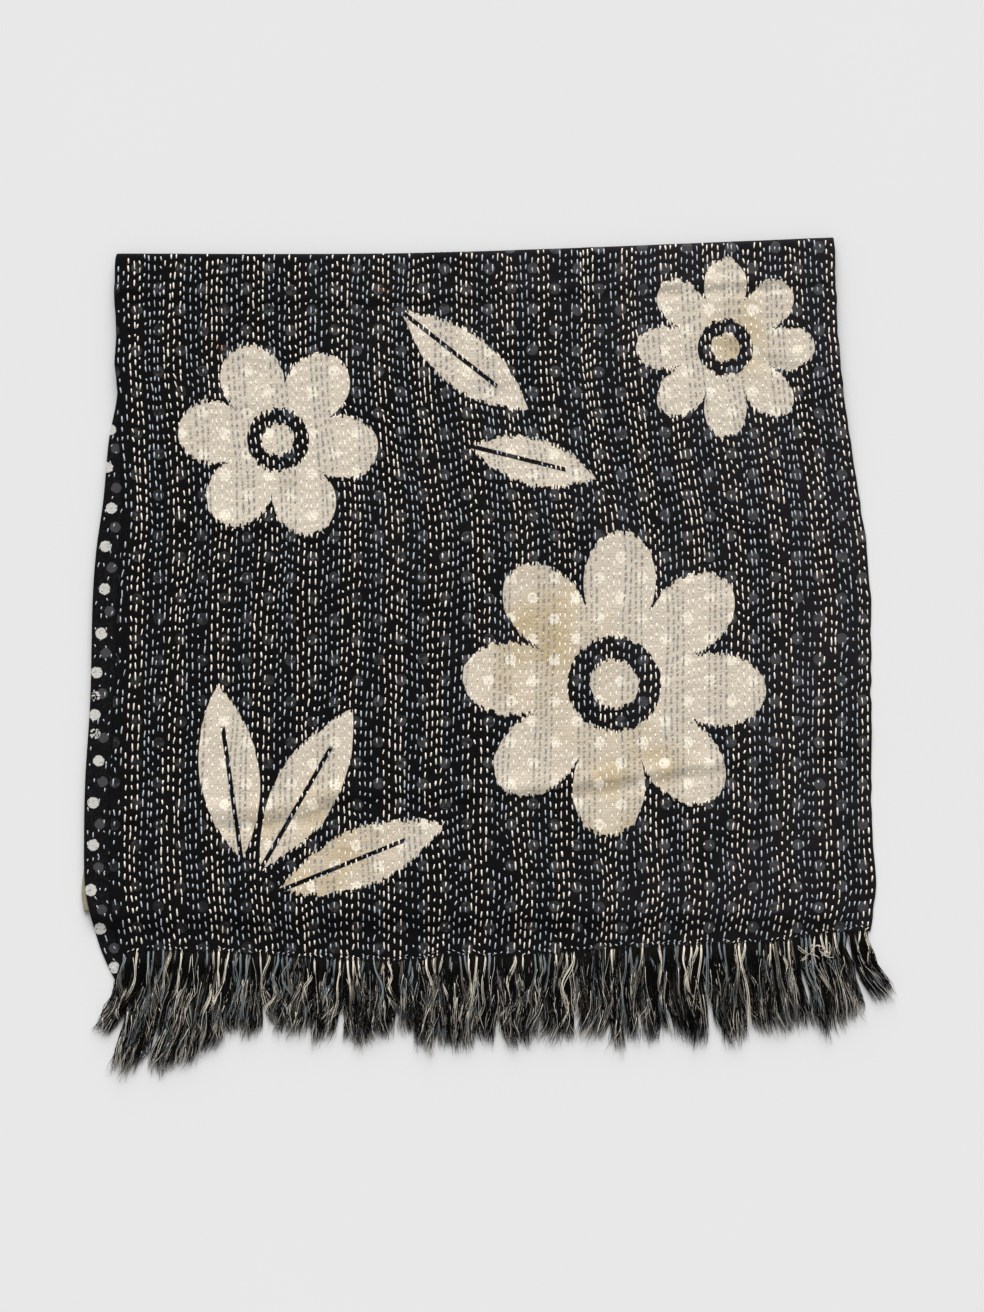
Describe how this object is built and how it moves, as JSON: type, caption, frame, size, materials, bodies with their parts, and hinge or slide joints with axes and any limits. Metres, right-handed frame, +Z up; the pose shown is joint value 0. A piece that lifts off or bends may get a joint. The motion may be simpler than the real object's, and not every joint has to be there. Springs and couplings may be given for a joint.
{
  "type": "folded kantha scarf",
  "caption": "Quilted cotton scarf with fringed ends, folded in half twice and laid flat.",
  "frame": {"origin": "middle of the flat underside, on the surface that the scarf lies on", "axes": "+Z up through the layers, +X along the top fold to the right, +Y from the fringed ends to the top fold"},
  "size_m": [0.5949, 0.6226, 0.0085],
  "materials": {
    "front_cloth": "black cotton quilted with rows of cream and blue-grey running stitch",
    "reverse_cloth": "black cotton reverse with white and grey dots",
    "inner_cloth": "quilted cotton, cream and black",
    "fringe_yarn": "loose cotton yarn, mostly black"
  },
  "bodies": {
    "root": {"front_quarter": "front_cloth", "second_quarter": "reverse_cloth", "inner_fold": "inner_cloth", "front_fringe": "fringe_yarn", "second_fringe": "fringe_yarn"}
  },
  "joints": []
}
